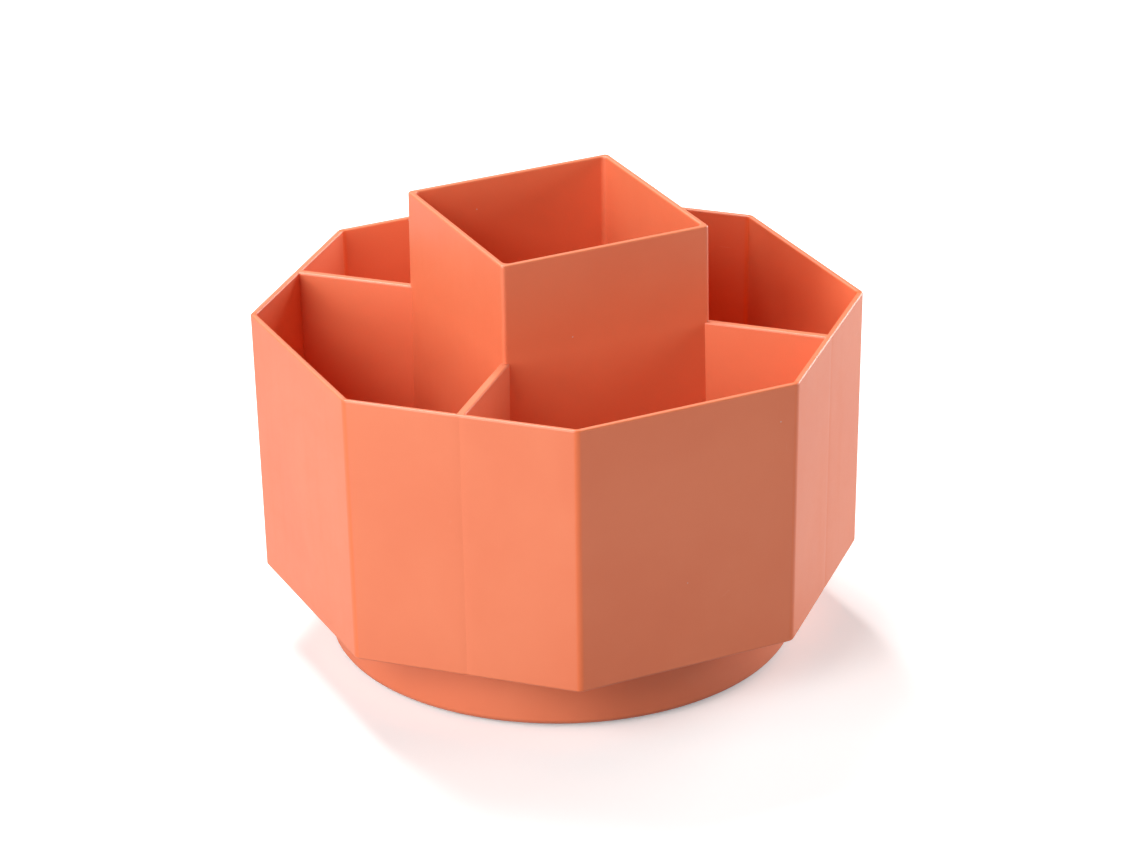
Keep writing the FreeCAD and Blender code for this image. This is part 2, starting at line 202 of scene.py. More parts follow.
def rounded_prism_tree():
    """Group: an upright prism with rounded corners, rounded ends and drafted sides.

    It starts as a cylinder whose vertices are counted off round it and up it, and each one is
    moved to its place. The flats face X and Y. A flare of -1 rounds the top of a solid inwards,
    and 1 rounds the mouth of a cavity outwards.
    """
    tree, n, size = new_tree("Rounded prism", GEOMETRY_TREE, Nodes, {
        "Sides": 8,
        "Flat Points": 2,
        "Corner Points": 6,
        "Round Steps": ROUND_STEPS,
        "Low": 0.0,
        "High": 0.1,
        "Low Across": 0.1,
        "High Across": 0.1,
        "Corner Round": 2.0 * MM,
        "Low Round": 0.0,
        "High Round": 0.0,
        "Flare": -1.0,
        "Overrun": 0.0,
        "Sink Depth": 0.0,
        "Sink Width": 1.0 * MM,
    }, {"Mesh": GEOMETRY})
    steps = size["Round Steps"]
    per_side = size["Flat Points"] + size["Corner Points"]
    around = per_side * size["Sides"]
    levels = steps * 2.0 + 2.0
    cylinder = n.add("GeometryNodeMeshCylinder", {
        "Vertices": around, "Side Segments": levels, "Radius": 1.0, "Depth": 1.0})
    x, y, z = n.parts(n.add("GeometryNodeInputPosition").outputs[0])
    turn = (n.math("ARCTAN2", y, x) / TURN).modulo(1.0)
    count = (turn * around).does("ROUND").modulo(around)
    level = ((z + 0.5) * levels).does("ROUND")

    # Up the side: the rounding at the bottom, the drafted face, the rounding at the top
    low, high = size["Low"], size["High"]
    low_round, high_round = size["Low Round"], size["High Round"]
    low_turn = (level / steps).least(1.0) * (TURN / 4)
    high_turn = ((level - steps - 1.0).most(0.0) / steps).least(1.0) * (TURN / 4)
    is_high = level.above(steps + 0.5)
    low_z = low + low_round * (1.0 - low_turn.does("COSINE"))
    high_z = high - high_round * (1.0 - high_turn.does("SINE"))
    face_z = low_z + is_high * (high_z - low_z)
    low_across, high_across = size["Low Across"], size["High Across"]
    across = low_across + (face_z - low) / (high - low) * (high_across - low_across)
    shift = low_round * (low_turn.does("SINE") - 1.0)
    shift = shift + high_round * size["Flare"] * (1.0 - high_turn.does("COSINE"))
    new_z = face_z + level.above(levels - 0.5) * size["Overrun"]

    # Round the side: the flat, with its points crowded at its middle, then the corner
    side_turn = TURN / size["Sides"]
    on_side = count.modulo(per_side)
    side = ((count + 0.5) / per_side).does("FLOOR")
    gaps = size["Flat Points"] - 1.0
    along = (on_side * 2.0 / gaps - 1.0).least(1.0)
    crowded = along.does("SIGN") * along.does("ABSOLUTE").does("POWER", CROWDING)
    corner_turn = (on_side - gaps).most(0.0) / (size["Corner Points"] + 1.0) * side_turn
    radius = (size["Corner Round"] + shift).most(TINY_ROUND)
    reach = across * 0.5 + shift - radius
    half = reach * (side_turn * 0.5).does("TANGENT")
    sideways = half * crowded + radius * corner_turn.does("SINE")
    outwards = reach + radius * corner_turn.does("COSINE")

    # The shallow sink where a divider meets the wall from inside, on every second side
    from_middle = sideways / size["Sink Width"]
    bell = n.math("POWER", math.e, -(from_middle * from_middle))
    outwards = outwards - bell * side.modulo(2.0) * size["Sink Depth"]

    moved = n.add("ShaderNodeVectorRotate", {
        "Vector": n.vector(outwards, sideways, new_z), "Angle": side * side_turn,
    }, rotation_type="Z_AXIS").outputs[0]
    placed = n.add("GeometryNodeSetPosition", {
        "Geometry": cylinder.outputs["Mesh"], "Position": moved}).outputs[0]
    merged = n.add("GeometryNodeMergeByDistance", {
        "Geometry": placed, "Distance": MERGE_DISTANCE}).outputs[0]
    n.add("NodeGroupOutput", {0: merged})
    return tree


def threaded_bar_tree():
    """Group: an upright bar with a right-hand thread, which tapers at its upper end."""
    tree, n, size = new_tree("Threaded bar", GEOMETRY_TREE, Nodes, {
        "Low": 0.0,
        "High": 0.01,
        "Radius": 2.0 * MM,
        "Depth": 0.4 * MM,
        "Pitch": 1.0 * MM,
        "Taper": 1.0 * MM,
        "Facets": 28,
        "Rows Per Turn": 8,
    }, {"Mesh": GEOMETRY})
    low, high, pitch = size["Low"], size["High"], size["Pitch"]
    rows = (high - low) / pitch * size["Rows Per Turn"]
    cylinder = n.add("GeometryNodeMeshCylinder", {
        "Vertices": size["Facets"], "Side Segments": rows, "Radius": 1.0, "Depth": high - low})
    x, y, z = n.parts(n.add("GeometryNodeInputPosition").outputs[0])
    height = z + (low + high) / 2.0
    phase = (height / pitch - n.math("ARCTAN2", y, x) / TURN).modulo(1.0)
    ridge = n.spread((phase * 2.0 - 1.0).does("ABSOLUTE"), THREAD_ROOT, THREAD_CREST)
    radius = size["Radius"] + size["Depth"] * (ridge - 1.0)
    narrowed = size["Radius"] - size["Depth"] - (height - high + size["Taper"]) * TIP_SLOPE
    near_tip = height.above(high - size["Taper"])
    radius = radius + near_tip * (radius.least(narrowed) - radius)
    placed = n.add("GeometryNodeSetPosition", {
        "Geometry": cylinder.outputs["Mesh"],
        "Position": n.vector(x * radius, y * radius, height)}).outputs[0]
    n.add("NodeGroupOutput", {0: placed})
    return tree


class Solids(Nodes):
    """Makes closed solids with geometry nodes, and joins them."""

    shared = {}

    def shape(self, maker, sizes):
        """A solid from a shared group, with its inputs in lower case for the caller."""
        if maker not in Solids.shared:
            Solids.shared[maker] = maker()
        inputs = {label.replace("_", " ").title(): value for label, value in sizes.items()}
        return self.placed("GeometryNodeGroup", Solids.shared[maker], inputs)["Mesh"]

    def prism(self, **sizes):
        return self.shape(rounded_prism_tree, sizes)

    def threaded_bar(self, **sizes):
        return self.shape(threaded_bar_tree, sizes)

    def moved(self, mesh, x=0.0, y=0.0, z=0.0):
        return self.add("GeometryNodeTransform", {
            "Geometry": mesh, "Translation": self.vector(x, y, z)}).outputs[0]

    def crossing(self, mesh):
        """The same mesh a quarter turn round Z."""
        return self.add("GeometryNodeTransform", {
            "Geometry": mesh, "Rotation": (0.0, 0.0, TURN / 4)}).outputs[0]

    def rod(self, radius, low, high, x=0.0, y=0.0, facets=ROD_FACETS):
        """Upright round bar between two heights."""
        mesh = self.add("GeometryNodeMeshCylinder", {
            "Vertices": facets, "Radius": radius, "Depth": high - low}).outputs["Mesh"]
        return self.moved(mesh, x, y, (low + high) / 2.0)

    def plate(self, start, end, thickness, low, high):
        """Upright plate along X between two heights."""
        size = self.vector(end - start, thickness, high - low)
        mesh = self.add("GeometryNodeMeshCube", {"Size": size}).outputs["Mesh"]
        return self.moved(mesh, (start + end) / 2.0, 0.0, (low + high) / 2.0)

    def by_index(self, data_type, values):
        """A field that gives each point its own value."""
        node = self.add("GeometryNodeIndexSwitch", data_type=data_type)
        while len(node.index_switch_items) < len(values):
            node.index_switch_items.new()
        self.feed(node.inputs[0], self.add("GeometryNodeInputIndex").outputs[0])
        for k, value in enumerate(values):
            self.feed(node.inputs[k + 1], value)
        return node.outputs[0]

    def turned(self, section, closed=True, facets=TURNED_FACETS):
        """A solid turned about Z from its section's corners: radius, height and rounding.

        The corners go up the inside, outwards over the top and down the outside. A section
        that isn't closed starts and ends on the axis.
        """
        line = self.add("GeometryNodeMeshLine", {"Count": len(section)}).outputs[0]
        curve = self.add("GeometryNodeMeshToCurve", {"Mesh": line}).outputs[0]
        curve = self.add("GeometryNodeSetSplineCyclic", {
            "Geometry": curve, "Cyclic": closed}).outputs[0]
        corners = [self.vector(radius - PATH_RADIUS, -height, 0.0) for radius, height, _ in section]
        placed = self.add("GeometryNodeSetPosition", {
            "Geometry": curve, "Position": self.by_index("VECTOR", corners)}).outputs[0]
        rounds = self.by_index("FLOAT", [rounding for _, _, rounding in section])
        outline = self.add("GeometryNodeFilletCurve", {
            "Curve": placed, "Count": ROUND_STEPS - 1, "Radius": rounds}, mode="POLY").outputs[0]
        path = self.add("GeometryNodeCurvePrimitiveCircle", {
            "Resolution": facets, "Radius": PATH_RADIUS}).outputs[0]
        swept = self.add("GeometryNodeCurveToMesh", {
            "Curve": path, "Profile Curve": outline}).outputs[0]
        return self.add("GeometryNodeMergeByDistance", {
            "Geometry": swept, "Distance": MERGE_DISTANCE}).outputs[0]

    def ring(self, inner, outer, low, high, low_edge=TINY_ROUND, high_edge=TINY_ROUND):
        return self.turned([(inner, low, low_edge), (inner, high, high_edge),
                            (outer, high, high_edge), (outer, low, low_edge)])

    def puck(self, radius, low, high, low_edge=TINY_ROUND, high_edge=TINY_ROUND):
        return self.turned([(0.0, high, 0.0), (radius, high, high_edge),
                            (radius, low, low_edge), (0.0, low, 0.0)], False, PUCK_FACETS)

    def copies(self, mesh, count, start=0.0):
        """Copies of a mesh, evenly turned about Z, as one mesh."""
        points = self.add("GeometryNodeMeshLine", {
            "Count": count, "Offset": (0.0, 0.0, 0.0)}).outputs[0]
        index = Value(self, self.add("GeometryNodeInputIndex").outputs[0])
        turn = index * (TURN / count) + start
        placed = self.add("GeometryNodeInstanceOnPoints", {
            "Points": points, "Instance": mesh, "Rotation": self.vector(0.0, 0.0, turn)})
        return self.add("GeometryNodeRealizeInstances", {0: placed.outputs[0]}).outputs[0]

    def joined(self, first, *others):
        node = self.add("GeometryNodeMeshBoolean", operation="UNION", solver="MANIFOLD")
        for mesh in (first,) + others:
            self.tree.links.new(mesh, node.inputs["Mesh 2"])
        return node.outputs["Mesh"]

    def cut(self, first, *others):
        node = self.add("GeometryNodeMeshBoolean", operation="DIFFERENCE", solver="MANIFOLD")
        self.tree.links.new(first, node.inputs["Mesh 1"])
        for mesh in others:
            self.tree.links.new(mesh, node.inputs["Mesh 2"])
        return node.outputs["Mesh"]

    def finish(self, mesh, material):
        """Ends a tree: faces shade smoothly up to sharp edges, in one mesh of one material."""
        smooth = self.add("GeometryNodeSetShadeSmooth", {
            "Geometry": mesh, "Shade Smooth": True}, domain="FACE").outputs[0]
        angle = self.add("GeometryNodeInputMeshEdgeAngle").outputs["Unsigned Angle"]
        edged = self.add("GeometryNodeSetShadeSmooth", {
            "Geometry": smooth, "Selection": Value(self, angle).above(SHARP_ANGLE),
            "Shade Smooth": False}, domain="EDGE").outputs[0]
        real = self.add("GeometryNodeRealizeInstances", {0: edged}).outputs[0]
        done = self.add("GeometryNodeSetMaterial", {
            "Geometry": real, "Material": material}).outputs[0]
        self.add("NodeGroupOutput", {0: done})


def solid_tree(name, sizes):
    """A geometry tree for one piece, with its sizes as named inputs."""
    inputs = {"Geometry": GEOMETRY, **sizes, "Finish": MATERIAL}
    return new_tree(name, GEOMETRY_TREE, Solids, inputs, {"Geometry": GEOMETRY})


def made(name, tree_maker, sizes, material):
    """The plain mesh object that a geometry tree makes. Its inputs are set before it is run."""
    tree = tree_maker(sizes)
    values = {**sizes, "Finish": material}
    piece = bpy.data.objects.new(name, bpy.data.meshes.new(name))
    bpy.context.scene.collection.objects.link(piece)
    modifier = piece.modifiers.new(tree.name, "NODES")
    modifier.node_group = tree
    for item in tree.interface.items_tree:
        if item.in_out == "INPUT" and item.name in values:
            modifier[item.identifier] = values[item.name]
    shading = piece.modifiers.new("Flat faces stay flat", "WEIGHTED_NORMAL")
    shading.keep_sharp = True
    graph = bpy.context.evaluated_depsgraph_get()
    mesh = bpy.data.meshes.new_from_object(piece.evaluated_get(graph))
    mesh.name = name
    piece.modifiers.clear()
    piece.data = mesh
    return piece


# Heights and radii that the frame gives

BIN_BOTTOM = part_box("upper_race")[1].z
HUB_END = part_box("pivot_washer")[1].z
WASHER_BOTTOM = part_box("pivot_washer")[0].z
PIVOT_BOTTOM, PIVOT_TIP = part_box("pivot_screw")[0].z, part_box("pivot_screw")[1].z
BASE_BOTTOM, SKIRT_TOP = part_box("base_shell")[0].z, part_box("base_shell")[1].z
COVER_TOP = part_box("base_cover")[1].z
COVER_SCREW_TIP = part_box("cover_screws")[1].z
BOSS_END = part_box("pivot_bush")[0].z
DECK_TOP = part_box("lower_race")[0].z
CAGE_BOTTOM, CAGE_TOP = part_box("ball_cage")[0].z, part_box("ball_cage")[1].z
BALL_HEIGHT = (CAGE_BOTTOM + CAGE_TOP) / 2
FOOT_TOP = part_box("foot_back_right")[1].z
BASE_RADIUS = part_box("base_shell")[1].x
COVER_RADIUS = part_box("base_cover")[1].x
CAGE_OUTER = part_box("ball_cage")[1].x
RACE_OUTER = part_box("upper_race")[1].x
RACE_WIDTH = 10.6 * MM
RACE_INNER = RACE_OUTER - RACE_WIDTH
BALL_CIRCLE = (RACE_OUTER + RACE_INNER) / 2

BIN_SIZES = {
    "Bottom": BIN_BOTTOM,
    "Height": 74.2 * MM,
    "Across Flats": 151.0 * MM,
    "Wall": 1.6 * MM,
    "Floor": 2.4 * MM,
    "Cup Width": 59.6 * MM,
    "Cup Rise": 27.0 * MM,
    "Cup Wall": 1.6 * MM,
    "Divider": 1.5 * MM,
    "Wall Draft": 0.75,
    "Cavity Draft": 0.9,
    "Cup Draft": 0.3,
    "Divider Draft": 0.3,
    "Corner Round": 2.5 * MM,
    "Cup Corner Round": 1.2 * MM,
    "Inside Round": 1.4 * MM,
    "Rim Round": 0.5 * MM,
    "Bottom Round": 0.8 * MM,
    "Sink Depth": 0.09 * MM,
    "Sink Width": 0.9 * MM,
    "Sink Points": 27,
    "Ejector Radius": 3.0 * MM,
    "Ejector Depth": 0.1 * MM,
    "Hub End": HUB_END,
    "Hub Radius": 8.0 * MM,
    "Hub Wall": 2.0 * MM,
    "Screw Post Radius": 3.5 * MM,
    "Pilot Radius": 1.97 * MM,
    "Pilot Top": PIVOT_TIP + 0.8 * MM,
    "Web": 1.2 * MM,
    "Ribs": 8,
    "Rib": 1.2 * MM,
    "Rib Depth": 3.0 * MM,
    "Race Inner": RACE_INNER - 0.05 * MM,
    "Race Outer": RACE_OUTER + 0.05 * MM,
    "Race Rib": 1.5 * MM,
    "Race Rib Depth": 1.4 * MM,
}

BASE_SIZES = {
    "Radius": BASE_RADIUS,
    "Bottom": BASE_BOTTOM,
    "Top": SKIRT_TOP,
    "Skirt": 2.4 * MM,
    "Ledge": 1.0 * MM,
    "Ledge Height": COVER_TOP,
    "Deck Top": DECK_TOP,
    "Deck": 2.2 * MM,
    "Boss End": BOSS_END,
    "Boss Wall": 3.0 * MM,
    "Bush Radius": 10.05 * MM,
    "Bottom Round": 2.0 * MM,
    "Top Round": 1.0 * MM,
    "Inside Round": 0.5 * MM,
    "Race Inner": RACE_INNER - 0.05 * MM,
    "Race Outer": RACE_OUTER + 0.05 * MM,
    "Race Rib": 1.5 * MM,
    "Race Rib Height": 1.4 * MM,
    "Ribs": 8,
    "Rib": 1.5 * MM,
    "Rib Height": 4.0 * MM,
    "Posts": 4,
    "Post Circle": BALL_CIRCLE,
    "Post Radius": 4.0 * MM,
    "Pilot Radius": 1.32 * MM,
    "Pilot Top": COVER_SCREW_TIP + 0.8 * MM,
}

COVER_SIZES = {
    "Radius": COVER_RADIUS,
    "Bottom": BASE_BOTTOM,
    "Top": COVER_TOP,
    "Edge Round": 0.4 * MM,
    "Screws": 4,
    "Screw Circle": BALL_CIRCLE,
    "Screw Hole": 1.55 * MM,
    "Sink Radius": 2.85 * MM,
    "Feet": 4,
    "Foot Circle": COVER_RADIUS - 9.0 * MM,
    "Pocket Radius": 6.1 * MM,
    "Pocket Depth": 1.0 * MM,
    "Groove Radius": 32.0 * MM,
    "Groove Width": 1.2 * MM,
    "Groove Depth": 0.4 * MM,
}

FEET_SIZES = {
    "Feet": 4,
    "Circle": COVER_RADIUS - 9.0 * MM,
    "Radius": 6.0 * MM,
    "Top": FOOT_TOP,
    "Edge Round": 0.5 * MM,
    "Groove Gap": 1.5 * MM,
    "Groove Depth": 0.25 * MM,
}

COVER_SCREW_SIZES = {
    "Screws": 4,
    "Circle": BALL_CIRCLE,
    "Bottom": BASE_BOTTOM,
    "Tip": COVER_SCREW_TIP,
    "Head Radius": 2.6 * MM,
    "Shank Radius": 1.3 * MM,
    "Thread Depth": 0.25 * MM,
    "Pitch": 0.9 * MM,
    "Cross Width": 0.9 * MM,
    "Cross Depth": 1.3 * MM,
}

PIVOT_SCREW_SIZES = {
    "Bottom": PIVOT_BOTTOM,
    "Seat": WASHER_BOTTOM,
    "Tip": PIVOT_TIP,
    "Head Radius": 4.0 * MM,
    "Head Round": 1.04 * MM,
    "Shank Radius": 1.95 * MM,
    "Thread Depth": 0.4 * MM,
    "Pitch": 1.3 * MM,
    "Cross Width": 0.9 * MM,
    "Cross Depth": 1.3 * MM,
}

CAGE_SIZES = {
    "Balls": 24,
    "Circle": BALL_CIRCLE,
    "Bottom": CAGE_BOTTOM,
    "Top": CAGE_TOP,
    "Width": 2 * (CAGE_OUTER - BALL_CIRCLE),
    "Pocket Radius": 2.6 * MM,
    "Edge Round": 0.3 * MM,
}

BALL_SIZES = {
    "Balls": 24,
    "Circle": BALL_CIRCLE,
    "Height": BALL_HEIGHT,
    "Radius": 2.5 * MM,
    "Subdivisions": 4,
}


# The pieces

def bin_tree(sizes):
    """The organizer bin, one moulding: octagon, cup, dividers, and hub and ribs under it."""
    tree, s, size = solid_tree("Organizer bin", sizes)
    bottom = size["Bottom"]
    rim = bottom + size["Height"]
    cup_rim = rim + size["Cup Rise"]
    floor = bottom + size["Floor"]
    mid_floor = bottom + size["Floor"] / 2.0
    across = size["Across Flats"]
    rim_round, inside_round = size["Rim Round"], size["Inside Round"]
    outer = s.prism(
        sides=8, flat_points=size["Sink Points"], low=bottom, high=rim,
        low_across=across - 2.0 * fall(size["Height"], size["Wall Draft"]), high_across=across,
        corner_round=size["Corner Round"], low_round=size["Bottom Round"], high_round=rim_round,
        sink_depth=size["Sink Depth"], sink_width=size["Sink Width"])

    def cup_block(low):
        width = size["Cup Width"]
        return s.prism(
            sides=4, low=low, high=cup_rim,
            low_across=width + 2.0 * fall(cup_rim - low, size["Cup Draft"]), high_across=width,
            corner_round=size["Cup Corner Round"], high_round=rim_round)

    def cavity(sides, mouth, high, draft):
        return s.prism(
            sides=sides, low=floor, high=high,
            low_across=mouth - 2.0 * fall(high - floor, draft), high_across=mouth,
            corner_round=inside_round, low_round=inside_round, high_round=rim_round,
            flare=1.0, overrun=OVERRUN)

    cup_cavity = cavity(4, size["Cup Width"] - 2.0 * size["Cup Wall"], cup_rim, size["Cup Draft"])
    room = cavity(8, across - 2.0 * size["Wall"], rim, size["Cavity Draft"])
    low = bottom - OVERRUN
    dividers = s.copies(divider(s, size, low, rim), 4, TURN / 8)
    compartments = s.cut(room, cup_block(low), dividers)
    body = s.cut(s.joined(outer, cup_block(mid_floor)), compartments, cup_cavity)
    body = s.joined(body, *under_bin(s, size, mid_floor))
    pilot = s.rod(size["Pilot Radius"], size["Hub End"] - OVERRUN, size["Pilot Top"],
                  facets=PILOT_FACETS)
    s.finish(s.cut(body, pilot, *ejector_marks(s, size, floor)), size["Finish"])
    return tree


def divider(s, size, low, high):
    """A divider along +X with a rounded top, from inside the cup's place to past the wall."""
    height = high - low
    profile = s.add("GeometryNodeCurvePrimitiveQuadrilateral", {
        "Height": height,
        "Bottom Width": size["Divider"] + 2.0 * fall(height, size["Divider Draft"]),
        "Top Width": size["Divider"],
        "Offset": 0.0,
    }, mode="TRAPEZOID").outputs[0]
    rounded = s.add("GeometryNodeFilletCurve", {
        "Curve": profile, "Count": ROUND_STEPS, "Radius": size["Rim Round"],
    }, mode="POLY").outputs[0]
    middle = (low + high) / 2.0
    path = s.add("GeometryNodeCurvePrimitiveLine", {
        "Start": s.vector(size["Cup Width"] / 3.0, 0.0, middle),
        "End": s.vector(size["Across Flats"] / 2.0 + OVERRUN, 0.0, middle)}).outputs[0]
    return s.add("GeometryNodeCurveToMesh", {
        "Curve": path, "Profile Curve": rounded, "Fill Caps": True}).outputs[0]


EJECTOR_ASIDE = 0.14        # from the middle of a compartment, as a share of Across Flats
EJECTOR_IN_CUP = 0.3        # from the axis, as a share of Cup Width


def ejector_marks(s, size, floor):
    """Shallow round marks that the mould's pins leave in the floors."""
    marks = []
    across, cup = size["Across Flats"], size["Cup Width"]
    low, high = floor - size["Ejector Depth"], floor + OVERRUN
    out = (across + cup) / 4.0
    for sideways in (EJECTOR_ASIDE, -EJECTOR_ASIDE):
        mark = s.rod(size["Ejector Radius"], low, high, out, across * sideways)
        marks.append(s.copies(mark, 4))
    in_cup = s.rod(size["Ejector Radius"], low, high, cup * EJECTOR_IN_CUP)
    marks.append(s.copies(in_cup, 4, TURN / 8))
    return marks


HUB_ROUND = 0.3 * MM


def under_bin(s, size, inside):
    """The hub with its screw post and webs, the ribs, and the ribs that locate the race."""
    bottom, hub_end = size["Bottom"], size["Hub End"]
    hub, post = size["Hub Radius"], size["Screw Post Radius"]
    wall = size["Hub Wall"]
    mid_wall = hub - wall / 2.0
    tube = s.ring(hub - wall, hub, hub_end, inside, HUB_ROUND)
    web = s.plate(-mid_wall, mid_wall, size["Web"], hub_end, inside)
    race_inner, race_outer, race_rib = size["Race Inner"], size["Race Outer"], size["Race Rib"]
    race_low = bottom - size["Race Rib Depth"]
    rib = s.plate(mid_wall, race_inner - race_rib / 2.0, size["Rib"],
                  bottom - size["Rib Depth"], inside)
    return [tube, s.rod(post, hub_end, inside), web, s.crossing(web),
            s.copies(rib, size["Ribs"]),
            s.ring(race_inner - race_rib, race_inner, race_low, inside, FINE_ROUND),
            s.ring(race_outer, race_outer + race_rib, race_low, inside, FINE_ROUND)]


RIB_OVERLAP = 0.5 * MM      # how far a rib reaches into the base's centre boss


def base_tree(sizes):
    """The base moulding: a turned section with ribs and screw posts under its deck."""
    tree, s, size = solid_tree("Base shell", sizes)
    radius, bottom, top = size["Radius"], size["Bottom"], size["Top"]
    chamber = radius - size["Skirt"]
    ledge = chamber - size["Ledge"]
    deck_top = size["Deck Top"]
    under_deck = deck_top - size["Deck"]
    bore = size["Bush Radius"]
    boss = bore + size["Boss Wall"]
    rib_top = deck_top + size["Race Rib Height"]
    inner, outer, rib = size["Race Inner"], size["Race Outer"], size["Race Rib"]
    small, inside = FINE_ROUND, size["Inside Round"]
    section = [
        (bore, size["Boss End"], small), (bore, deck_top, small),
        (inner - rib, deck_top, small), (inner - rib, rib_top, small),
        (inner, rib_top, small), (inner, deck_top, TINY_ROUND),
        (outer, deck_top, TINY_ROUND), (outer, rib_top, small),
        (outer + rib, rib_top, small), (outer + rib, deck_top, inside),
        (chamber, deck_top, inside), (chamber, top, small),
        (radius, top, size["Top Round"]), (radius, bottom, size["Bottom Round"]),
        (chamber, bottom, small), (chamber, size["Ledge Height"], TINY_ROUND),
        (ledge, size["Ledge Height"], small), (ledge, under_deck, inside),
        (boss, under_deck, inside), (boss, size["Boss End"], small),
    ]
    body = s.turned(section)
    mid_deck = under_deck + size["Deck"] / 2.0
    rib_plate = s.plate(boss - RIB_OVERLAP, chamber - size["Ledge"] / 2.0, size["Rib"],
                        under_deck - size["Rib Height"], mid_deck)
    ribs = s.copies(rib_plate, size["Ribs"], TURN / 16)
    circle = size["Post Circle"]
    posts = s.rod(size["Post Radius"], size["Ledge Height"], deck_top - size["Deck"] / 2.0, circle)
    pilots = s.rod(size["Pilot Radius"], bottom, size["Pilot Top"], circle, facets=PILOT_FACETS)
    body = s.joined(body, ribs, s.copies(posts, size["Posts"]))
    s.finish(s.cut(body, s.copies(pilots, size["Posts"])), size["Finish"])
    return tree


def cover_tree(sizes):
    """The disc that closes the base from below, with countersunk holes and foot pockets."""
    tree, s, size = solid_tree("Base cover", sizes)
    bottom, top = size["Bottom"], size["Top"]
    radius, groove = size["Radius"], size["Groove Radius"]
    groove_outer, groove_top = groove + size["Groove Width"], bottom + size["Groove Depth"]
    disc = s.turned([
        (0.0, top, 0.0), (radius, top, TINY_ROUND), (radius, bottom, size["Edge Round"]),
        (groove_outer, bottom, FINE_ROUND), (groove_outer, groove_top, FINE_ROUND),
        (groove, groove_top, FINE_ROUND), (groove, bottom, FINE_ROUND),
        (0.0, bottom, 0.0)], False)
    hole, sink = size["Screw Hole"], size["Sink Radius"]
    under = bottom - OVERRUN
    countersink = s.turned([
        (0.0, top + OVERRUN, 0.0), (hole, top + OVERRUN, TINY_ROUND),
        (hole, bottom + sink - hole, TINY_ROUND), (sink, bottom, TINY_ROUND),
        (sink, under, TINY_ROUND), (0.0, under, 0.0)], False, SMALL_FACETS)
    sinks = s.copies(s.moved(countersink, size["Screw Circle"]), size["Screws"])
    pocket = s.puck(size["Pocket Radius"], under, bottom + size["Pocket Depth"])
    pockets = s.copies(s.moved(pocket, size["Foot Circle"]), size["Feet"], TURN / 8)
    s.finish(s.cut(disc, sinks, pockets), size["Finish"])
    return tree


FOOT_TOP_ROUND = 0.15 * MM
FOOT_GROOVE_ROUND = 0.12 * MM
FOOT_GROOVES = (3.0, 2.0, 1.0)  # from the outside in, in gaps from the foot's middle
FOOT_GROOVE_HALF = 0.2          # half a groove's width, as a share of the gap


def feet_tree(sizes):
    """Round rubber feet with grooves in the face that they stand on."""
    tree, s, size = solid_tree("Rubber feet", sizes)
    radius, top, gap, deep = size["Radius"], size["Top"], size["Groove Gap"], size["Groove Depth"]
    section = [(0.0, top, 0.0), (radius, top, FOOT_TOP_ROUND), (radius, 0.0, size["Edge Round"])]
    for k in FOOT_GROOVES:
        outer, inner = gap * k + gap * FOOT_GROOVE_HALF, gap * k - gap * FOOT_GROOVE_HALF
        corners = [(outer, 0.0), (outer, deep), (inner, deep), (inner, 0.0)]
        section += [(r, z, FOOT_GROOVE_ROUND) for r, z in corners]
    section.append((0.0, 0.0, 0.0))
    foot = s.moved(s.turned(section, False, PUCK_FACETS), size["Circle"])
    s.finish(s.copies(foot, size["Feet"], TURN / 8), size["Finish"])
    return tree


CROSS_REACH = 2.2               # of the cross recess's arms, in widths of an arm
SCREW_EDGE_ROUND = 0.1 * MM
SCREW_FACE_ROUND = 0.06 * MM
SCREW_LIP = 0.15 * MM           # the short upright rim of a countersunk head
NECK_TAPER = 0.3 * MM           # over which a countersunk head's neck narrows to the core
THREAD_START = 0.2 * MM
COVER_SCREW_TAPER = 1.2 * MM
PIVOT_SCREW_TAPER = 1.6 * MM
PLAIN_NECK = 1.3 * MM           # of the pivot screw, past the washer
NECK_OVERLAP = 0.5 * MM


def recessed(s, size, head):
    """A screw's head with its cross-shaped recess, opening downwards."""
    bottom, width = size["Bottom"], size["Cross Width"]
    reach = width * CROSS_REACH
    bar = s.plate(-reach, reach, width, bottom - OVERRUN, bottom + size["Cross Depth"])
    return s.cut(head, bar, s.crossing(bar))


def cover_screw_tree(sizes):
    """Countersunk screws, their heads level with the cover's outer face."""
    tree, s, size = solid_tree("Cover screws", sizes)
    bottom, head, shank = size["Bottom"], size["Head Radius"], size["Shank Radius"]
    neck = bottom + head - shank
    core = shank - size["Thread Depth"]
    solid = s.turned([(0.0, neck + OVERRUN, 0.0), (core, neck + OVERRUN, TINY_ROUND),
                      (core, neck + NECK_TAPER, TINY_ROUND), (shank, neck, TINY_ROUND),
                      (head, bottom + SCREW_LIP, SCREW_EDGE_ROUND),
                      (head, bottom, SCREW_FACE_ROUND), (0.0, bottom, 0.0)], False, ROD_FACETS)
    thread = s.threaded_bar(low=neck + THREAD_START, high=size["Tip"], radius=shank,
                            depth=size["Thread Depth"], pitch=size["Pitch"],
                            taper=COVER_SCREW_TAPER)
    screw = s.joined(recessed(s, size, solid), thread)
    s.finish(s.copies(s.moved(screw, size["Circle"]), size["Screws"]), size["Finish"])
    return tree


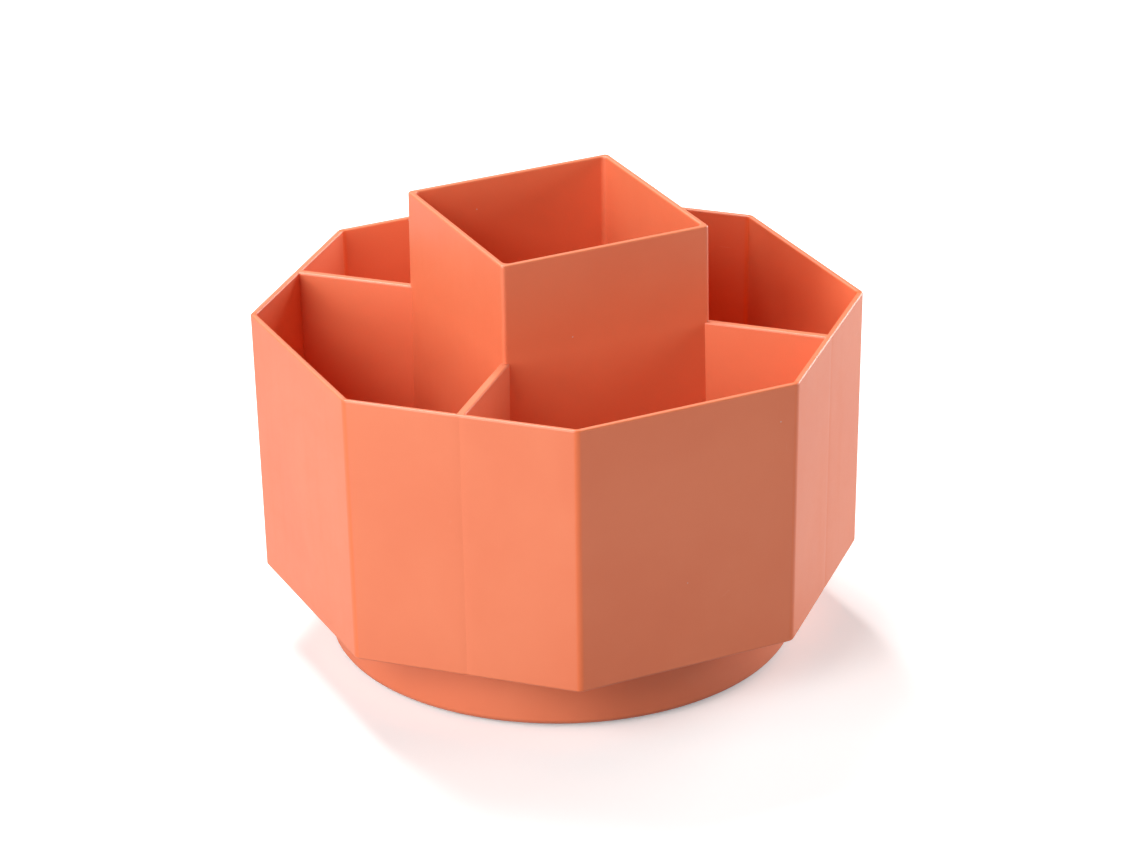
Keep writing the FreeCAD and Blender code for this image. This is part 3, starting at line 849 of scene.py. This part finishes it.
def pivot_screw_tree(sizes):
    """The pan-headed screw that holds the washer to the hub."""
    tree, s, size = solid_tree("Pivot screw", sizes)
    bottom, seat, shank = size["Bottom"], size["Seat"], size["Shank Radius"]
    head = s.puck(size["Head Radius"], bottom, seat, size["Head Round"], SCREW_EDGE_ROUND)
    neck = s.rod(shank, seat - NECK_OVERLAP, seat + PLAIN_NECK, facets=SMALL_FACETS)
    thread = s.threaded_bar(low=seat + OVERRUN, high=size["Tip"], radius=shank,
                            depth=size["Thread Depth"], pitch=size["Pitch"],
                            taper=PIVOT_SCREW_TAPER)
    s.finish(s.joined(recessed(s, size, head), neck, thread), size["Finish"])
    return tree


def cage_tree(sizes):
    """The flat ring that spaces the balls, with a round pocket for each."""
    tree, s, size = solid_tree("Ball cage", sizes)
    circle, half = size["Circle"], size["Width"] / 2.0
    bottom, top, edge = size["Bottom"], size["Top"], size["Edge Round"]
    ring = s.ring(circle - half, circle + half, bottom, top, edge, edge)
    pocket = s.rod(size["Pocket Radius"], bottom - OVERRUN, top + OVERRUN, circle,
                   facets=SMALL_FACETS)
    s.finish(s.cut(ring, s.copies(pocket, size["Balls"])), size["Finish"])
    return tree


def ball_tree(sizes):
    """The bearing's balls, one in each pocket of the cage."""
    tree, s, size = solid_tree("Bearing balls", sizes)
    ball = s.add("GeometryNodeMeshIcoSphere", {
        "Radius": size["Radius"], "Subdivisions": size["Subdivisions"]}).outputs["Mesh"]
    placed = s.moved(ball, size["Circle"], 0.0, size["Height"])
    s.finish(s.copies(placed, size["Balls"]), size["Finish"])
    return tree


# Surface effects, shared by the materials

class Surface(Nodes):
    """Adds texture nodes."""

    def noise(self, place, scale, detail=2.0, roughness=0.5, distortion=0.0):
        node = self.add("ShaderNodeTexNoise", {
            "Vector": place, "Scale": scale, "Detail": detail, "Roughness": roughness,
            "Distortion": distortion})
        return Value(self, node.outputs[0])

    def cells(self, place, scale):
        """Distance to the nearest cell, its position, and a colour of its own."""
        return self.add("ShaderNodeTexVoronoi", {"Vector": place, "Scale": scale}).outputs

    def vector_math(self, operation, *vectors, output="Vector"):
        node = self.add("ShaderNodeVectorMath", dict(enumerate(vectors)), operation=operation)
        return node.outputs[output]


def effect_tree(name, inputs, outputs):
    given = {"Position": (0.0, 0.0, 0.0), **inputs}
    return new_tree(name, SHADER_TREE, Surface, given, {label: FLOAT for label in outputs})


def grain_effect():
    """Grain etched in the mould: small soft bumps, and the faint tone they give."""
    tree, n, given = effect_tree("Moulded grain", {"Size": 0.4 * MM}, ("Height", "Tone"))
    scale = 1.0 / given["Size"]
    fine = n.noise(given["Position"], scale, 2.0, 0.55)
    bumps = n.cells(given["Position"], scale * 0.7)["Distance"]
    height = fine * 0.6 + n.spread(bumps, 0.1, 0.8) * 0.4
    tone = n.noise(given["Position"], scale * 0.25, 3.0, 0.6)
    n.add("NodeGroupOutput", {"Height": height, "Tone": tone})
    return tree


WIPE_STRETCH = (1.0, 1.0, 0.16)     # wipe marks run mostly upright, a little askew
WIPE_TURN = (0.0, 0.35, 0.2)


def handling_effect():
    """Soft smudges and wipe marks from hands and cloths."""
    tree, n, given = effect_tree("Handling marks", {"Size": 30.0 * MM}, ("Smudge", "Wipe"))
    scale = 1.0 / given["Size"]
    broad = n.noise(given["Position"], scale, 4.0, 0.62, 0.8)
    streaks = n.add("ShaderNodeMapping", {
        "Vector": given["Position"], "Scale": WIPE_STRETCH, "Rotation": WIPE_TURN}).outputs[0]
    wipe = n.noise(streaks, scale * 9.0, 3.0, 0.6)
    n.add("NodeGroupOutput", {
        "Smudge": n.spread(broad, 0.42, 0.72), "Wipe": n.spread(wipe, 0.45, 0.75)})
    return tree


def scratch_effect():
    """A few short straight hairlines, each in its own cell and its own direction."""
    tree, n, given = effect_tree("Hairline scratches", {
        "Spacing": 12.0 * MM, "Width": 0.05 * MM, "Length": 3.0 * MM, "Share": 0.3}, ("Line",))
    place = given["Position"]
    scale = 1.0 / given["Spacing"]
    cell = n.cells(place, scale)
    from_centre = n.vector_math("SUBTRACT", place, cell["Position"])
    any_way = n.vector_math("SUBTRACT", cell["Color"], (0.5, 0.5, 0.5))
    way = n.vector_math("NORMALIZE", any_way)
    offset = n.vector_math("DOT_PRODUCT", from_centre, way, output="Value")
    across = Value(n, offset).does("ABSOLUTE")
    width, length = given["Width"], given["Length"] / 2.0
    thin = 1.0 - n.spread(across, width * 0.4, width)
    reach = Value(n, cell["Distance"]) / scale
    short = 1.0 - n.spread(reach, length * 0.5, length)
    red, green, _ = n.parts(cell["Color"])
    kept = (red + green).modulo(1.0).does("LESS_THAN", given["Share"])
    n.add("NodeGroupOutput", {"Line": thin * short * kept})
    return tree


def wear_effect():
    """Breaks up an even band along an edge into the patches that rubbing leaves."""
    tree, n, given = effect_tree("Edge wear", {"Edge": 0.0, "Size": 3.0 * MM}, ("Worn",))
    patches = n.noise(given["Position"], 1.0 / given["Size"], 4.0, 0.65)
    worn_and_highlight = given["Edge"] * (patches + 0.4)
    n.add("NodeGroupOutput", {"Worn": n.spread(worn_and_highlight, 0.25, 0.85)})
    return tree


def dust_effect():
    """A few specks of dust, each in its own cell."""
    tree, n, given = effect_tree("Dust specks", {
        "Spacing": 6.0 * MM, "Speck": 0.2 * MM, "Share": 0.4}, ("Speck",))
    scale = 1.0 / given["Spacing"]
    cell = n.cells(given["Position"], scale)
    own = n.parts(cell["Color"])[0]
    reach = given["Speck"] * scale * (own + 0.4)
    speck = 1.0 - n.spread(cell["Distance"], reach * 0.5, reach)
    kept = (own * -1.0 + 1.0).does("LESS_THAN", given["Share"])
    n.add("NodeGroupOutput", {"Speck": speck * kept})
    return tree


GRAIN = grain_effect()
HANDLING = handling_effect()
SCRATCHES = scratch_effect()
WEAR = wear_effect()
DUST = dust_effect()


# Materials

# A Mix node has sockets for every kind of value. These are its sockets for colours.
MIX_FACTOR, MIX_FIRST, MIX_SECOND, MIX_RESULT = 0, 6, 7, 2


class Finish(Surface):
    """A material's own nodes. Constants are set on the shader's own sockets."""

    def __init__(self, name, **constants):
        self.material = bpy.data.materials.new(name)
        self.material.use_nodes = True
        super().__init__(self.material.node_tree)
        self.shader = self.tree.nodes["Principled BSDF"]
        for label, value in constants.items():
            self.shader.inputs[label.replace("_", " ")].default_value = value
        self.place = self.add("ShaderNodeTexCoord").outputs["Object"]

    def effect(self, tree, **inputs):
        given = {label.title(): value for label, value in inputs.items()}
        given["Position"] = self.place
        outputs = self.placed("ShaderNodeGroup", tree, given)
        return {label: Value(self, output) for label, output in outputs.items()}

    def tone(self, share, first, second):
        """One colour that gives way to another."""
        return self.add("ShaderNodeMix", {
            MIX_FACTOR: share, MIX_FIRST: first, MIX_SECOND: second},
            data_type="RGBA").outputs[MIX_RESULT]

    def near(self, value, middle, reach):
        """One at a place, falling to nothing at a distance from it."""
        away = (value - middle).does("ABSOLUTE")
        return 1.0 - self.spread(away, 0.0, reach)

    def wear_on(self, edge, size):
        return self.effect(WEAR, edge=edge, size=size)["Worn"]

    def scratches(self, **inputs):
        return self.effect(SCRATCHES, **inputs)["Line"]

    def specks(self, **inputs):
        return self.effect(DUST, **inputs)["Speck"]

    def from_axis(self, x, y):
        """Distance from the Z axis."""
        return (x * x + y * y).does("SQRT")

    def done(self, colour, roughness, height, depth):
        """Joins colour, roughness and relief to the shader."""
        self.feed(self.shader.inputs["Base Color"], colour)
        self.feed(self.shader.inputs["Roughness"], roughness)
        bump = self.add("ShaderNodeBump", {"Strength": 1.0, "Distance": depth, "Height": height})
        self.feed(self.shader.inputs["Normal"], bump.outputs[0])
        return self.material


CORAL = (0.87, 0.225, 0.1, 1.0)
CORAL_DEEP = (0.84, 0.2, 0.085, 1.0)
# edge tone: rubbing wear, and partly a painted highlight on the rims
CORAL_WORN_AND_HIGHLIGHT = (0.9, 0.25, 0.11, 1.0)
# painted shade: the upright corners' deeper tone, for the haze their rounds reflect less
CORAL_CORNER_SHADE = (0.88, 0.17, 0.045, 1.0)
CORAL_SCRATCHED = (0.92, 0.4, 0.26, 1.0)
DUST_GREY = (0.75, 0.66, 0.6, 1.0)
ACETAL_CREAM = (0.8, 0.79, 0.74, 1.0)
ACETAL_WHITE = (0.85, 0.84, 0.8, 1.0)
BURNISHED = (0.52, 0.5, 0.45, 1.0)
BEARING_DIRT = (0.3, 0.28, 0.25, 1.0)
NYLON_BLACK = (0.018, 0.018, 0.02, 1.0)
NYLON_GREY = (0.04, 0.04, 0.043, 1.0)
GLASS_FLECK = (0.22, 0.22, 0.22, 1.0)
CLEAN_STEEL = (0.74, 0.74, 0.75, 1.0)
GREASED_STEEL = (0.6, 0.58, 0.52, 1.0)
ZINC_BLUE = (0.6, 0.62, 0.66, 1.0)
ZINC_YELLOW = (0.66, 0.64, 0.56, 1.0)
ZINC_RUBBED = (0.45, 0.44, 0.42, 1.0)
RUBBER_BLACK = (0.022, 0.022, 0.024, 1.0)
RUBBER_GREY = (0.045, 0.045, 0.046, 1.0)
RUBBER_DUSTED = (0.2, 0.19, 0.18, 1.0)
RUBBER_SPECK = (0.35, 0.33, 0.3, 1.0)


CORNER_BAND = (0.5 * MM, 1.3 * MM)  # full at the first distance, gone at the second
RIM_BAND = 1.1 * MM
WALL_DEPTH = 3.2 * MM               # what is nearer the outside than this counts as the wall
CUP_MARGIN = 0.8 * MM


def moulding_edges(f):
    """Nearness to the bin's upright corners and to its rims, from the moulding's sizes. They mark
    edge wear and painted light: a painted highlight on rims and corners, and painted shade at the
    corners.
    """
    x, y, z = f.parts(f.place)
    eighth = TURN / 8
    fold = (f.math("ARCTAN2", y, x) + eighth / 2).modulo(eighth) - eighth / 2
    radius = f.from_axis(x, y)
    outwards = radius * fold.does("COSINE")
    along = (radius * fold.does("SINE")).does("ABSOLUTE")
    corner = outwards * math.tan(eighth / 2) - along
    outside = outwards.above(BIN_SIZES["Across Flats"] / 2 - WALL_DEPTH)
    corner_wear_and_painted_light = (1.0 - f.spread(corner, *CORNER_BAND)) * outside
    rim = BIN_SIZES["Bottom"] + BIN_SIZES["Height"]
    in_cup = x.does("ABSOLUTE").most(y.does("ABSOLUTE")).does(
        "LESS_THAN", BIN_SIZES["Cup Width"] / 2 + CUP_MARGIN)
    rim_here = in_cup * BIN_SIZES["Cup Rise"] + rim
    return corner_wear_and_painted_light, f.near(z, rim_here, RIM_BAND)


def coral_plastic():
    """Satin moulded plastic: lighter and smoother on rubbed edges, the lighter tone partly a
    painted highlight on rims and corners, and deeper at upright corners as painted shade.
    """
    f = Finish("Coral plastic", Specular_IOR_Level=0.5, IOR=1.5, Coat_Weight=0.45,
               Coat_Roughness=0.34, Coat_IOR=1.5)
    grain = f.effect(GRAIN, size=0.45 * MM)
    hands = f.effect(HANDLING, size=34.0 * MM)
    scratch = f.scratches(spacing=17.0 * MM, width=0.06 * MM, length=5.0 * MM, share=0.35)
    speck = f.specks(spacing=9.0 * MM, speck=0.22 * MM, share=0.3)
    corner_wear_and_painted_light, rim_wear_and_highlight = moulding_edges(f)
    worn_and_highlight = f.wear_on(corner_wear_and_painted_light.most(rim_wear_and_highlight), 2.5 * MM)
    flow = f.noise(f.place, 22.0, 3.0, 0.55, 0.4)
    colour = f.tone(f.spread(flow, 0.3, 0.7), CORAL_DEEP, CORAL)
    colour = f.tone(grain["Tone"] * 0.25, colour, CORAL_DEEP)
    # rubbed rims and corners: lighter from wear, and partly a painted highlight where rims catch
    # the light
    colour = f.tone(worn_and_highlight * 0.6, colour, CORAL_WORN_AND_HIGHLIGHT)
    # painted shade: upright corners tinted deeper and more saturated, as if their rounds reflected
    # less light
    colour = f.tone(corner_wear_and_painted_light * 0.8, colour, CORAL_CORNER_SHADE)
    colour = f.tone(scratch * 0.4, colour, CORAL_SCRATCHED)
    colour = f.tone(speck * 0.6, colour, DUST_GREY)
    roughness = 0.5 + hands["Smudge"] * 0.07 + hands["Wipe"] * 0.04 + grain["Tone"] * 0.06
    roughness = roughness - worn_and_highlight * 0.1 - scratch * 0.08
    height = grain["Height"] * 0.8 - scratch * 0.6 + speck * 2.0
    return f.done(colour, roughness, height, 0.006 * MM)


def spark_plastic():
    """The cover's matt plastic, with the coarse texture that spark erosion leaves."""
    f = Finish("Spark-textured plastic", Specular_IOR_Level=0.5, IOR=1.5)
    grain = f.effect(GRAIN, size=0.8 * MM)
    hands = f.effect(HANDLING, size=25.0 * MM)
    scratch = f.scratches(spacing=9.0 * MM, width=0.08 * MM, length=4.0 * MM, share=0.5)
    speck = f.specks(spacing=5.0 * MM, speck=0.3 * MM, share=0.5)
    colour = f.tone(grain["Tone"], CORAL_DEEP, CORAL)
    colour = f.tone(hands["Smudge"] * 0.2 + scratch * 0.4, colour, CORAL_SCRATCHED)
    colour = f.tone(speck * 0.7, colour, DUST_GREY)
    roughness = 0.66 + grain["Height"] * 0.1 - hands["Smudge"] * 0.08 - scratch * 0.1
    return f.done(colour, roughness, grain["Height"] - scratch * 0.4, 0.03 * MM)


def acetal():
    """Off-white bearing plastic, burnished where the balls roll."""
    f = Finish("Acetal", Specular_IOR_Level=0.5, IOR=1.48, Subsurface_Weight=0.15,
               Subsurface_Scale=1.0 * MM)
    x, y, _ = f.parts(f.place)
    radius = f.from_axis(x, y)
    track = f.near(radius, BALL_CIRCLE, 1.6 * MM)
    grain = f.effect(GRAIN, size=0.3 * MM)
    hands = f.effect(HANDLING, size=14.0 * MM)
    lines = f.noise(f.vector(radius, 0.0, 0.0), 9000.0, 1.0)
    speck = f.specks(spacing=4.0 * MM, speck=0.15 * MM, share=0.4)
    colour = f.tone(grain["Tone"], ACETAL_CREAM, ACETAL_WHITE)
    colour = f.tone(track * 0.5 * (hands["Wipe"] * 0.5 + 0.5), colour, BURNISHED)
    colour = f.tone(speck, colour, BEARING_DIRT)
    roughness = 0.42 - track * 0.2 + hands["Smudge"] * 0.1
    return f.done(colour, roughness, lines * 0.5 + grain["Height"] * 0.5, 0.004 * MM)


def cage_nylon():
    """Black nylon with the pale flecks of its glass filling."""
    f = Finish("Cage nylon", Specular_IOR_Level=0.45, IOR=1.53)
    grain = f.effect(GRAIN, size=0.35 * MM)
    fleck = f.specks(spacing=0.9 * MM, speck=0.14 * MM, share=0.55)
    hands = f.effect(HANDLING, size=10.0 * MM)
    colour = f.tone(grain["Tone"], NYLON_BLACK, NYLON_GREY)
    colour = f.tone(fleck * 0.4, colour, GLASS_FLECK)
    roughness = 0.55 + grain["Height"] * 0.12 - hands["Smudge"] * 0.15
    return f.done(colour, roughness, grain["Height"] + fleck * 0.4, 0.01 * MM)


def ball_steel():
    """Polished steel with a thin uneven film of grease."""
    f = Finish("Ball steel", Metallic=1.0)
    film = f.effect(HANDLING, size=2.2 * MM)
    scratch = f.scratches(spacing=1.6 * MM, width=0.015 * MM, length=1.2 * MM, share=0.6)
    grain = f.effect(GRAIN, size=0.2 * MM)
    colour = f.tone(film["Smudge"], CLEAN_STEEL, GREASED_STEEL)
    roughness = 0.06 + film["Smudge"] * 0.16 + scratch * 0.15
    return f.done(colour, roughness, grain["Height"] - scratch, 0.001 * MM)


def zinc_steel():
    """Zinc-plated steel: faint blue and yellow tints, and rubbed patches."""
    f = Finish("Zinc-plated steel", Metallic=1.0)
    tint = f.noise(f.place, 500.0, 3.0, 0.6, 0.5)
    hands = f.effect(HANDLING, size=3.0 * MM)
    scratch = f.scratches(spacing=2.0 * MM, width=0.02 * MM, length=1.6 * MM, share=0.7)
    grain = f.effect(GRAIN, size=0.12 * MM)
    colour = f.tone(f.spread(tint, 0.35, 0.65), ZINC_BLUE, ZINC_YELLOW)
    colour = f.tone(hands["Smudge"] * 0.4, colour, ZINC_RUBBED)
    roughness = 0.3 + hands["Smudge"] * 0.15 + grain["Tone"] * 0.1 - scratch * 0.1
    return f.done(colour, roughness, grain["Height"] - scratch * 0.7, 0.003 * MM)


def foot_rubber():
    """Matt black rubber, greyed by dust where it stands."""
    f = Finish("Foot rubber", Specular_IOR_Level=0.35, IOR=1.52)
    _, _, z = f.parts(f.place)
    grain = f.effect(GRAIN, size=0.25 * MM)
    hands = f.effect(HANDLING, size=4.0 * MM)
    speck = f.specks(spacing=1.2 * MM, speck=0.14 * MM, share=0.5)
    standing = f.near(z, 0.0, 0.5 * MM)
    colour = f.tone(grain["Tone"], RUBBER_BLACK, RUBBER_GREY)
    colour = f.tone(standing * (hands["Smudge"] * 0.5 + 0.2), colour, RUBBER_DUSTED)
    colour = f.tone(speck * 0.5, colour, RUBBER_SPECK)
    roughness = 0.78 + grain["Height"] * 0.1 - hands["Smudge"] * 0.06
    return f.done(colour, roughness, grain["Height"], 0.012 * MM)


coral = coral_plastic()
steel = zinc_steel()
white_acetal = acetal()

PIECES = [
    ("bin_moulding", bin_tree, BIN_SIZES, coral, "bin", "coral_plastic", ["organizer_bin"]),
    ("base_moulding", base_tree, BASE_SIZES, coral, "base", "coral_plastic", ["base_shell"]),
    ("bottom_cover", cover_tree, COVER_SIZES, spark_plastic(), "base", "cover_plastic",
     ["base_cover"]),
    ("rubber_feet", feet_tree, FEET_SIZES, foot_rubber(), "base", "foot_rubber",
     ["foot_back_right", "foot_back_left", "foot_front_left", "foot_front_right"]),
    ("countersunk_screws", cover_screw_tree, COVER_SCREW_SIZES, steel, "base", "zinc_steel",
     ["cover_screws"]),
    ("pan_head_screw", pivot_screw_tree, PIVOT_SCREW_SIZES, steel, "bin", "zinc_steel",
     ["pivot_screw"]),
    ("ball_spacer", cage_tree, CAGE_SIZES, cage_nylon(), "ball_cage", "cage_plastic",
     ["ball_cage"]),
    ("steel_balls", ball_tree, BALL_SIZES, ball_steel(), "ball_cage", "ball_steel",
     ["bearing_balls"]),
]
for name, maker, sizes, material, body, slot, nodes in PIECES:
    piece = made(name, maker, sizes, material)
    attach(piece, body)
    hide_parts(*nodes)

KEPT_NODES = {
    "lower_race": white_acetal,
    "upper_race": white_acetal,
    "pivot_bush": white_acetal,
    "pivot_washer": steel,
}
for name, material in KEPT_NODES.items():
    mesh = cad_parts[name].data
    mesh.materials.clear()
    mesh.materials.append(material)


# Camera

CAMERA_AZIMUTH = -25.63
CAMERA_HEIGHT = 24.841
CAMERA_ROLL = -0.866
CAMERA_DISTANCE = 1.0581
CAMERA_RIGHT = 0.00322
CAMERA_DOWN = 0.03317
CAMERA_LENS = 125.73
SENSOR_WIDTH = 36.0


def away_from(azimuth, height):
    """Direction from the object towards an azimuth and height in degrees, 0 being -Y."""
    a, h = azimuth * DEGREE, height * DEGREE
    return Vector((math.sin(a) * math.cos(h), -math.cos(a) * math.cos(h), math.sin(h)))


back = away_from(CAMERA_AZIMUTH, CAMERA_HEIGHT)
level = Vector((math.cos(CAMERA_AZIMUTH * DEGREE), math.sin(CAMERA_AZIMUTH * DEGREE), 0.0))
plumb = back.cross(level)
roll = CAMERA_ROLL * DEGREE
right = level * math.cos(roll) + plumb * math.sin(roll)
up = plumb * math.cos(roll) - level * math.sin(roll)
rim_centre = Vector((0.0, 0.0, BIN_SIZES["Bottom"] + BIN_SIZES["Height"]))
camera = bpy.data.objects.new("Camera", bpy.data.cameras.new("Camera"))
camera.data.sensor_width = SENSOR_WIDTH
camera.data.lens = CAMERA_LENS
camera.matrix_world = Matrix((right, up, back)).transposed().to_4x4()
camera.matrix_world.translation = (
    rim_centre + back * CAMERA_DISTANCE + right * CAMERA_RIGHT - up * CAMERA_DOWN)
bpy.context.scene.collection.objects.link(camera)
bpy.context.scene.camera = camera


# Floor and light

FLOOR_RADIUS = 5.0
FLOOR_SIDES = 64
LIGHT_DISTANCE = 1.4
LIGHT_SIZE = 0.55
WIDE_LIGHT_SIZE = 0.9
LIGHT_AIM = Vector((0.0, 0.0, 0.06))
BLACK = (0.0, 0.0, 0.0, 1.0)
WHITE = (1.0, 1.0, 1.0, 1.0)
PAPER_LIGHT = (0.93, 0.93, 0.93, 1.0)
PAPER_DARK = (0.9, 0.9, 0.9, 1.0)
PAPER_BOUNCE = (0.4, 0.4, 0.4, 1.0)     # keeps the walls' lower parts from being lit from below
PAPER_GLOSS = 0.3                       # how much of its whiteness shows in reflections
PAPER_GLOW = 0.3
ROOM_LIGHT = 0.02

floor_mesh = bpy.data.meshes.new("floor")
turns = [k * TURN / FLOOR_SIDES for k in range(FLOOR_SIDES)]
edge_points = [(FLOOR_RADIUS * math.cos(a), FLOOR_RADIUS * math.sin(a), 0.0) for a in turns]
floor_mesh.from_pydata(edge_points, [], [tuple(range(FLOOR_SIDES))])
floor = bpy.data.objects.new("floor", floor_mesh)
bpy.context.scene.collection.objects.link(floor)
paper = Finish("White paper", Specular_IOR_Level=0.2, Emission_Strength=PAPER_GLOW)
rays = paper.add("ShaderNodeLightPath").outputs
in_gloss = Value(paper, rays["Is Glossy Ray"]) * PAPER_GLOSS
seen = Value(paper, rays["Is Camera Ray"]).most(in_gloss)
fibres = paper.noise(paper.place, 900.0, 3.0)
sheet = paper.tone(fibres, PAPER_DARK, PAPER_LIGHT)
paper.feed(paper.shader.inputs["Emission Color"], paper.tone(seen, BLACK, WHITE))
paper.done(paper.tone(seen, PAPER_BOUNCE, sheet), 0.8, fibres, 0.01 * MM)
floor_mesh.materials.append(paper.material)


def soft_light(name, azimuth, height, power, size=LIGHT_SIZE):
    away = away_from(azimuth, height)
    data = bpy.data.lights.new(name, "AREA")
    data.shape = "SQUARE"
    data.size = size
    data.energy = power
    lamp = bpy.data.objects.new(name, data)
    lamp.location = away * LIGHT_DISTANCE + LIGHT_AIM
    lamp.rotation_euler = away.to_track_quat("Z", "Y").to_euler()
    bpy.context.scene.collection.objects.link(lamp)


soft_light("Key light", -60, 35, 7.6)
soft_light("Key fill", -90, 35, 4.0)
soft_light("Left low light", -72, 12, 8.6)
soft_light("Right low light", 108, 12, 15.5, WIDE_LIGHT_SIZE)
soft_light("Right front light", 72, 12, 7.6)
soft_light("High back light", 180, 58, 20.0)

world = bpy.data.worlds.new("Studio")
world.use_nodes = True
background = world.node_tree.nodes["Background"].inputs
background["Color"].default_value = WHITE
background["Strength"].default_value = ROOM_LIGHT
bpy.context.scene.world = world
bpy.context.scene.view_settings.view_transform = "Standard"
